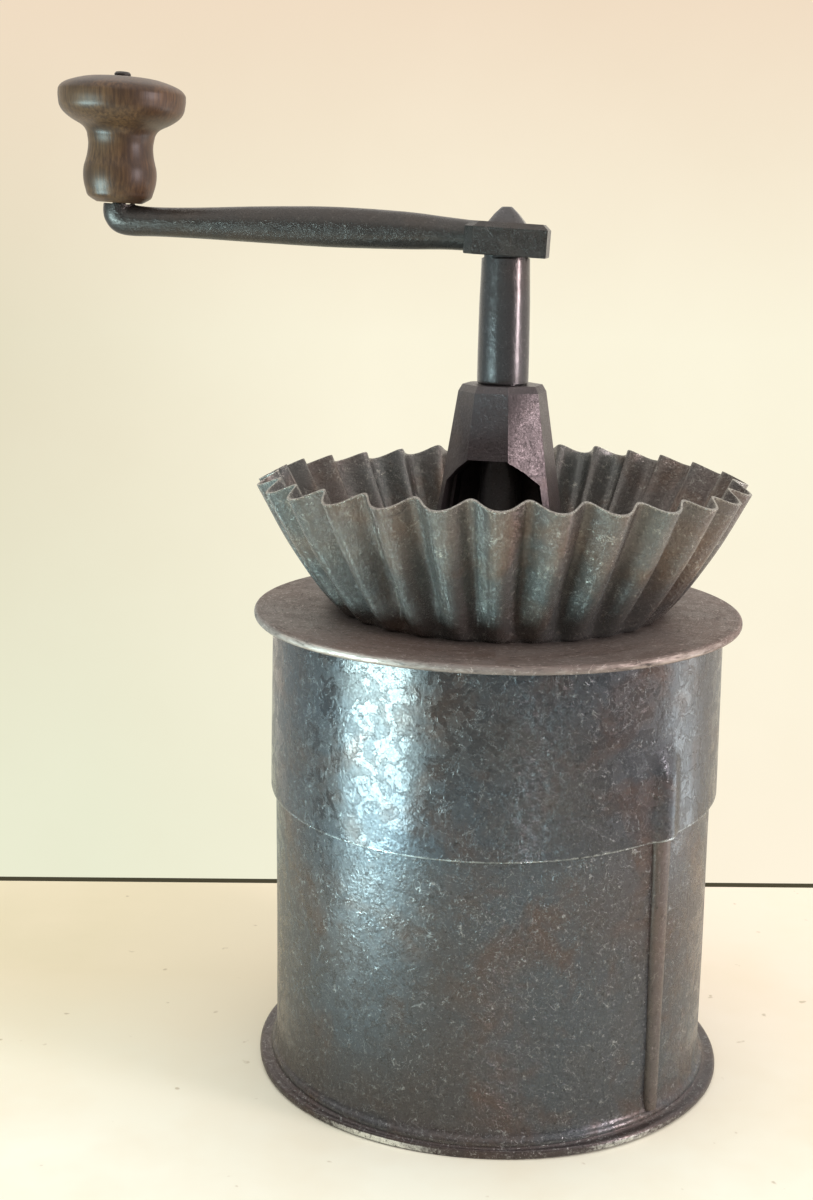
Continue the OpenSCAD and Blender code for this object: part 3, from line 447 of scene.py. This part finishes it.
# The flutes drift a few degrees from an even spacing, and the rim stands higher at the front.
aside = np.radians(swell(127, 36, -8.4) + swell(222, 20, 2) + swell(312, 40, 1.5) + 0.35 * np.sin(5 * a + 0.4))
wave = FLUTES * (a + aside)
hollow = (1 - np.cos(wave - 0.26 * np.sin(wave))) / 2
depth = 5.6 * np.minimum(1, 1.6 * s)[:, None] * hollow * (1 + uneven(a, 0, 0.07, 31, 12))
outer = np.concatenate([middle, middle[::-1]])[:, None, :]
push = np.concatenate([0.4 - depth, -0.4 - depth[::-1]])[..., None]
push = push * np.concatenate([normal, normal[::-1]])[:, None, :]
wall_rz = outer + push
lift = swell(0, 42, 2.4) + swell(140, 35, 1) - swell(230, 30, 1)
wall_rz[..., 1] += lift * np.concatenate([s, s[::-1]])[:, None] ** 2
wall_rz[20:32, :, 1] += uneven(a, 0, 0.22, 33, 16) * np.clip(6 - np.abs(np.arange(-5.5, 6)), 0, 3)[:, None] / 3


def flat(r, z):
    """A ring of the floor: the same r and z in each column."""
    return np.broadcast_to(np.array([r, z], float), (1, a.size, 2))


loop = np.concatenate([flat(17, 0.8), flat(38, 0.8), wall_rz, flat(36, 1.6), flat(17, 1.6)])
bowl = np.stack([loop[..., 0] * np.sin(a) + 0.7, -loop[..., 0] * np.cos(a), PLATE_Z + loop[..., 1]], -1)
rub_and_painted_light = np.zeros(bowl.shape[:2])
rub_and_painted_light[27:29] = 0.6
# Crests lighter, partly as wear and partly as painted highlight; hollows darker as painted shade; the flutes' foot
# darker still, as painted shade where they meet the plate.
rub_and_painted_light[4:26] = 0.38 * (1 - hollow) ** 2 - 0.2 * hollow ** 1.5
rub_and_painted_light[2:9] -= np.linspace(0.4, 0, 7)[:, None]
hopper = piece("hopper_fluted", [(bowl, rub_and_painted_light, True)], "mill_head", ["hopper"], sharp=60)
hopper.data.materials.append(iron("hopper_sheet_iron", "#6f645f", "#696a68", "#745f50", "#c4c1b7", metallic=0.6,
                                  rough=(0.2, 0.27), relief=0.06, grain=0.4, hair=1.7))

# Bridge: forged iron filed to an octagonal tower, hollowed from the front over the
# throat, with two feet that are riveted through the hopper's floor.
def bevelled(node, name, body, width, sharp=30):
    """Copy of a solid with its loose triangles merged, its flats made whole and its edges rounded by width mm."""
    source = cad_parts[node]
    mesh = source.data.copy()
    mesh.materials.clear()
    build = bmesh.new()
    build.from_mesh(mesh)
    bmesh.ops.remove_doubles(build, verts=build.verts, dist=2e-6)
    bmesh.ops.dissolve_limit(build, angle_limit=math.radians(2), verts=build.verts, edges=build.edges)
    build.to_mesh(mesh)
    build.free()
    mesh.shade_smooth()
    mesh.set_sharp_from_angle(angle=math.radians(sharp))
    made = bpy.data.objects.new(name, mesh)
    bpy.context.scene.collection.objects.link(made)
    round_off = made.modifiers.new("rounded_edges", "BEVEL")
    round_off.width, round_off.segments, round_off.limit_method = width / 1000, 2, "ANGLE"
    round_off.angle_limit = math.radians(sharp)
    round_off.harden_normals = True
    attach(made, body)
    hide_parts(node)
    return made


bridge = bevelled("bridge", "bridge_forged", "mill_head", 0.45)
bridge.data.materials.append(iron("bridge_forged_iron", "#4f4748", "#4f494a", "#584b46", "#a89d9d",
                                  rough=(0.33, 0.37), relief=0.06, grain=0.6, hair=0.3))

# Spindle: turned bar with a point, a journal, a shaft, a thick column that
# narrows towards its head, and a squared head filed to a blunt tip.
HUB_Z = 223.9
CRANK_TURN, CRANK_TILT = math.radians(175), math.radians(2.9)


def square(half, corner, t):
    """Outline of a square bar with cut corners: the radius at angle t is half / max(|cos t|, |sin t|), and at
    most corner."""
    return np.minimum(half / np.maximum(np.abs(np.cos(t)), np.abs(np.sin(t))), corner)


t = np.linspace(0, 2 * np.pi, 96, endpoint=False)[None, :]
bar = [(0, 97.95), (4, 101.95), (4, 105.7), (5.5, 105.7), (5.5, 190.7), (6.55, 190.72), (6.8, 190.95), (6.84, 192.6),
       (6.83, 198.9), (6.76, 205.2), (6.7, 211.4), (6.5, 217.7), (6.38, 222.0), (6.36, 223.2)]
r, z = np.array(bar).T[:, :, None]
tip = [(5.4, 6.32, 223.6), (5.4, 6.32, 231.3), (4.7, 5.3, 232.6), (3.1, 3.7, 234.6), (1.6, 1.9, 236.1),
       (1.2, 1.4, 236.4), (0.01, 0.01, 236.45)]
tip_r = np.concatenate([square(half, corner, t - CRANK_TURN) for half, corner, _ in tip])
r = np.concatenate([r + 0 * t, tip_r])
z = np.concatenate([z + 0 * t, [[q] * t.size for _, _, q in tip]])
spindle_grid = np.stack([r * np.cos(t), r * np.sin(t), z], -1)
spindle = piece("spindle_turned", [(spindle_grid, 0.2 + 0 * r, False)], "spindle", ["spindle"])
spindle.data.materials.append(iron("spindle_turned_iron", "#524e4d", "#504f50", "#544c49", "#a9a3a4",
                                   rough=(0.17, 0.2), relief=0.015, grain=0.6, hair=0.4))

# Crank: forged in one piece, with a filed hub block, an oval arm that climbs a
# little, an elbow, and the pin that the knob turns on, its end riveted over.
CRANK = 104.9


def on_crank(points):
    """Turns points of the crank's own frame (x along the arm, z up from the hub's underside) into place."""
    tilt = np.array([[math.cos(CRANK_TILT), 0, -math.sin(CRANK_TILT)], [0, 1, 0],
                     [math.sin(CRANK_TILT), 0, math.cos(CRANK_TILT)]])
    turn = np.array([[math.cos(CRANK_TURN), -math.sin(CRANK_TURN), 0],
                     [math.sin(CRANK_TURN), math.cos(CRANK_TURN), 0], [0, 0, 1]])
    return points @ (turn @ tilt).T + (0, 0, HUB_Z)


stations = smooth([(8, 4.5, 3.9, 4.4, 0), (16, 4.7, 4.2, 4.4, 0), (28, 4.7, 4.9, 4.6, 0), (47, 4.35, 5.25, 4.6, 0),
                   (66, 3.75, 4.75, 4.4, 0), (82, 3.1, 4.1, 4.2, 0), (94, 2.65, 3.85, 4.15, 0),
                   (100.6, 2.6, 4.1, 4.1, -6), (103.4, 3.3, 4.55, 4.1, -30), (104.6, 4.6, 4.55, 4.15, -58),
                   (104.9, 6.0, 4.25, 4.15, -86), (104.9, 6.75, 4.1, 4.1, -90)], np.linspace(0, 1, 120))
t = np.linspace(0, 2 * np.pi, 40, endpoint=False)[None, :]
x, z, h, w, turn = stations.T[:, :, None]
turn = np.radians(turn)
arm = np.stack([x + h * np.cos(t) * np.sin(turn), w * np.sin(t), z + h * np.cos(t) * np.cos(turn)], -1)
arm = np.concatenate([np.broadcast_to(arm[:1].mean(1, keepdims=True), arm[:1].shape), arm,
                      np.broadcast_to(arm[-1:].mean(1, keepdims=True), arm[:1].shape)])

outline = np.array([(-10.85, -7), (8.4, -7), (10.85, -4.5), (10.85, 4.5), (8.4, 7), (-10.85, 7)])


def hub_ring(z, drawn_in):
    """The hub's outline at height z, drawn in by drawn_in mm on each side."""
    inner = np.sign(outline) * np.maximum(np.abs(outline) - drawn_in, 0)
    return np.column_stack([inner, np.full(len(inner), z)])


hub = np.stack([hub_ring(0, 8), hub_ring(0, 0.2), hub_ring(0.2, 0), hub_ring(7.1, 0), hub_ring(8.5, 1.4),
                hub_ring(8.5, 12)])
pin = [(0, 6), (1.8, 6), (1.8, 39.7), (2.15, 39.75), (2.2, 40.2), (1.8, 40.7), (0.9, 40.85), (0, 40.9)]
pin_t = np.linspace(0, 2 * np.pi, 32, endpoint=False)[None, :]
r, z = np.array(pin).T[:, :, None]
pin_grid = np.stack([CRANK + r * np.cos(pin_t), r * np.sin(pin_t), z + 0 * pin_t], -1)
crank = piece("crank_forged", [(on_crank(arm[:, ::-1]), 0.25, False), (on_crank(hub), 0.3, False),
                               (on_crank(pin_grid), 0.0, False)],
              "spindle", ["crank_arm", "knob_pin"], sharp=25)
crank.data.materials.append(iron("crank_forged_iron", "#433e3b", "#454240", "#4a413b", "#9b928b",
                                 rough=(0.3, 0.36), relief=0.04, grain=0.7, hair=0.4))

# Knob: turned from a close-grained wood, stained and waxed, with darker
# patches. It turns freely on the crank's pin.
line = [(1.85, 0), (6.0, 0), (8.3, 1.4), (8.95, 2.9), (9.4, 4.4), (9.68, 5.95), (9.74, 7.55), (9.6, 9.1),
        (9.2, 10.6), (8.85, 12.1), (8.63, 13.7), (8.58, 15.2), (8.8, 16.7), (9.15, 18.1), (10.3, 19.5),
        (13.1, 21.0), (15.15, 22.5),
        (16.3, 24.1), (16.68, 25.8), (16.8, 27.5), (16.5, 29.0), (14.6, 30.5), (9.7, 32.0), (4.5, 32.5), (1.85, 32.6)]
profile = smooth(line[1:-1], np.linspace(0, 1, 110))
profile = np.concatenate([[line[0]], profile, [line[-1]]])
r, z = profile.T[:, :, None]
t = np.linspace(0, 2 * np.pi, 96, endpoint=False)[None, :]
knob_grid = on_crank(np.stack([CRANK + r * np.cos(t), r * np.sin(t), z + 7.0 + 0 * t], -1))
knob = piece("knob_turned", [(knob_grid, 0.0, True)], "knob", ["knob"])
wood = bpy.data.materials.new("stained_beech")
wood.use_nodes = True
tree = wood.node_tree
shader = tree.nodes["Principled BSDF"]
place = add(tree, "ShaderNodeTexCoord").outputs["Object"]
along = add(tree, "ShaderNodeMapping", {"Vector": place, "Rotation": (0, CRANK_TILT, 0), "Scale": (1400, 1400, 110)})
pores = noise(tree, along.outputs[0], 1, 3, 0.6)
colour = mix(tree, ramp(tree, pores, 0.35, 0.65), linear("#422e20"), linear("#634830"))
colour = mix(tree, ramp(tree, noise(tree, place, 120, 3), 0.42, 0.65, 0, 0.75), colour, linear("#3a2a20"))
tree.links.new(colour, shader.inputs["Base Color"])
shader.inputs["Roughness"].default_value = 0.4
shader.inputs["Specular IOR Level"].default_value = 0.4
bump = add(tree, "ShaderNodeBump", {"Height": pores, "Strength": 1.0, "Distance": 0.00004})
tree.links.new(bump.outputs[0], shader.inputs["Normal"])
knob.data.materials.append(wood)

# Rivets, burrs, stirrup and grind screw: forged and cut iron that mostly hides
# inside the head, greyer where coffee has rubbed it.
burr_steel = iron("cut_burr_steel", "#7a7873", "#7c7c7e", "#6f655b", "#c8c5c0", rough=(0.28, 0.38))
inner_iron = iron("inner_forged_iron", "#524c49", "#545150", "#5b4d46", "#b0a69c", rough=(0.34, 0.46))
for node, finish in (("burr_ring", burr_steel), ("burr_cone", burr_steel), ("footstep", burr_steel),
                     ("cone_pin", burr_steel), ("stirrup", inner_iron), ("stirrup_rivets", inner_iron),
                     ("bridge_rivets", inner_iron), ("lock_nut", inner_iron), ("adjusting_screw", inner_iron)):
    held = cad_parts[node]
    held.data.materials.clear()
    held.data.materials.append(finish)
